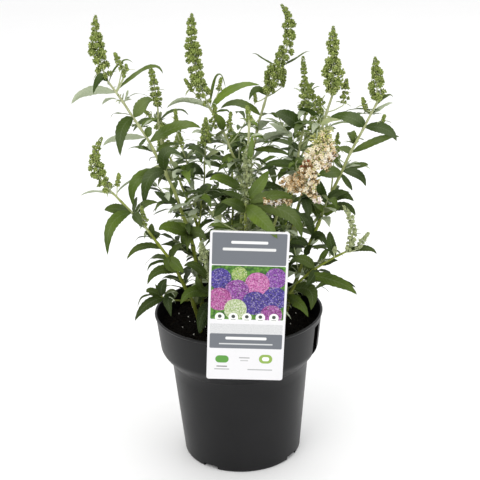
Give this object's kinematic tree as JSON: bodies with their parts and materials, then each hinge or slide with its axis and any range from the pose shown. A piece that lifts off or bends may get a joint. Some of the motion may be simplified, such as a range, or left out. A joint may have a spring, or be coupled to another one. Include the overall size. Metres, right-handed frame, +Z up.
{
  "type": "potted butterfly bush",
  "caption": "Young butterfly bush in a dark grower's pot: arching canes with grey-backed leaves, green flower spikes, a cream blossom and a card label over the rim.",
  "frame": {"origin": "middle of the flat underside of the pot", "axes": "+Z up along the pot's axis; -Y is the front, where the label hangs; +X is the viewer's right"},
  "size_m": [0.3643, 0.2536, 0.5351],
  "materials": {
    "pot_plastic": "satin moulded plastic",
    "compost": "rough, moist, crumbly",
    "label_card": "smooth printed card",
    "cane_bark": "fine felt over green bark",
    "leaf_green": "matt leaf, grey felt below",
    "bud_green": "matt clustered buds",
    "bloom_cream": "matt petals"
  },
  "bodies": {
    "root": {"bloom_cone": "bloom_cream", "cane_back_left": "cane_bark", "cane_back_mid": "cane_bark", "cane_back_right": "cane_bark", "cane_bloom": "cane_bark", "cane_front": "cane_bark", "cane_front_low": "cane_bark", "cane_left_branch": "cane_bark", "cane_left_low": "cane_bark", "cane_left_tall": "cane_bark", "cane_mid_left": "cane_bark", "cane_mid_right": "cane_bark", "cane_mid_tall": "cane_bark", "cane_right_arch": "cane_bark", "cane_right_low": "cane_bark", "cane_right_tall": "cane_bark", "label": "label_card", "leaves_back_left": "leaf_green", "leaves_back_mid": "leaf_green", "leaves_back_right": "leaf_green", "leaves_bloom": "leaf_green", "leaves_front_low": "leaf_green", "leaves_front_mid": "leaf_green", "leaves_front_top": "leaf_green", "leaves_left_branch": "leaf_green", "leaves_left_low_foot": "leaf_green", "leaves_left_low_top": "leaf_green", "leaves_left_tall_foot": "leaf_green", "leaves_left_tall_low": "leaf_green", "leaves_left_tall_mid": "leaf_green", "leaves_left_tall_top": "leaf_green", "leaves_mid_left_low": "leaf_green", "leaves_mid_left_mid": "leaf_green", "leaves_mid_left_top": "leaf_green", "leaves_mid_right": "leaf_green", "leaves_mid_tall_low": "leaf_green", "leaves_mid_tall_mid": "leaf_green", "leaves_mid_tall_top": "leaf_green", "leaves_right_arch_low": "leaf_green", "leaves_right_arch_mid": "leaf_green", "leaves_right_arch_top": "leaf_green", "leaves_right_low": "leaf_green", "leaves_right_tall_mid": "leaf_green", "leaves_right_tall_top": "leaf_green", "pot": "pot_plastic", "soil": "compost", "spike_back_left": "bud_green", "spike_back_mid": "bud_green", "spike_back_right": "bud_green", "spike_front": "bud_green", "spike_front_low": "bud_green", "spike_left_branch": "bud_green", "spike_left_low": "bud_green", "spike_left_tall": "bud_green", "spike_mid_left": "bud_green", "spike_mid_right": "bud_green", "spike_mid_tall": "bud_green", "spike_right_arch": "bud_green", "spike_right_low": "bud_green", "spike_right_tall": "bud_green"}
  },
  "joints": []
}
